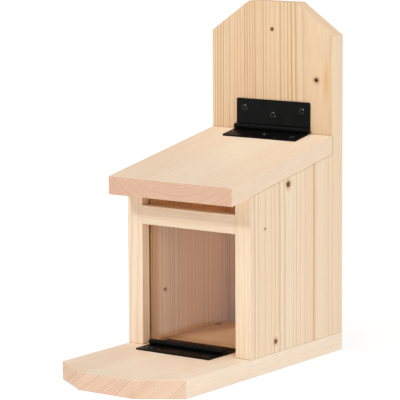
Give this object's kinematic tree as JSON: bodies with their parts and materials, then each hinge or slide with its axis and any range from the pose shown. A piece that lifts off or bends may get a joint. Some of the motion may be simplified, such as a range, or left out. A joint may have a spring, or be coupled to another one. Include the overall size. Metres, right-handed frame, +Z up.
{
  "type": "feeder box",
  "caption": "Wooden hanging feeder box with a tall back board, a sloping lid on a hinge, a clear sliding front pane and a fold-up landing platform.",
  "frame": {"origin": "on the ground under the middle of the box's overall width and depth, with the platform down", "axes": "+Z up, +Y towards the back board, +X to the right as seen from the front"},
  "size_m": [0.148, 0.2956, 0.352],
  "materials": {
    "back_wood": "untreated planed pine",
    "side_wood": "untreated planed pine",
    "base_wood": "untreated planed pine",
    "roof_wood": "untreated planed pine",
    "rail_wood": "untreated planed pine",
    "dowel_wood": "smooth beech dowel",
    "hinge_black": "satin black powder coat",
    "hinge_screw_black": "black coated steel",
    "box_screw_zinc": "zinc plated steel",
    "clear_pane": "clear acrylic sheet"
  },
  "bodies": {
    "house": {"back_board": "back_wood", "left_side": "side_wood", "right_side": "side_wood", "floor_board": "base_wood", "front_rail": "rail_wood", "left_rail_dowel": "dowel_wood", "right_rail_dowel": "dowel_wood", "roof_hinge_wall_leaf": "hinge_black", "roof_hinge_pin": "hinge_black", "roof_hinge_wall_screws": "hinge_screw_black", "platform_hinge_floor_leaf": "hinge_black", "platform_hinge_pin": "hinge_black", "platform_hinge_floor_screws": "hinge_screw_black", "left_side_back_screws": "box_screw_zinc", "right_side_back_screws": "box_screw_zinc", "left_side_base_screws": "box_screw_zinc", "right_side_base_screws": "box_screw_zinc", "back_board_base_screws": "box_screw_zinc"},
    "roof": {"roof_board": "roof_wood", "roof_hinge_roof_leaf": "hinge_black", "roof_hinge_roof_screws": "hinge_screw_black"},
    "platform": {"platform_board": "base_wood", "platform_hinge_platform_leaf": "hinge_black", "platform_hinge_platform_screws": "hinge_screw_black"},
    "pane": {"window_pane": "clear_pane"}
  },
  "joints": [
    {"name": "roof_lift", "type": "hinge", "parent": "house", "child": "roof", "pos_m": [0.0023, 0.12625, 0.22381], "axis": [-1, 0, 0], "range_deg": [0, 98]},
    {"name": "platform_fold", "type": "hinge", "parent": "house", "child": "platform", "pos_m": [-0.0036, -0.01325, 0.0215], "axis": [-1, 0, 0], "range_deg": [0, 90]},
    {"name": "pane_slide", "type": "slide", "parent": "house", "child": "pane", "axis": [0, 0, 1], "range_m": [0, 0.018]}
  ]
}
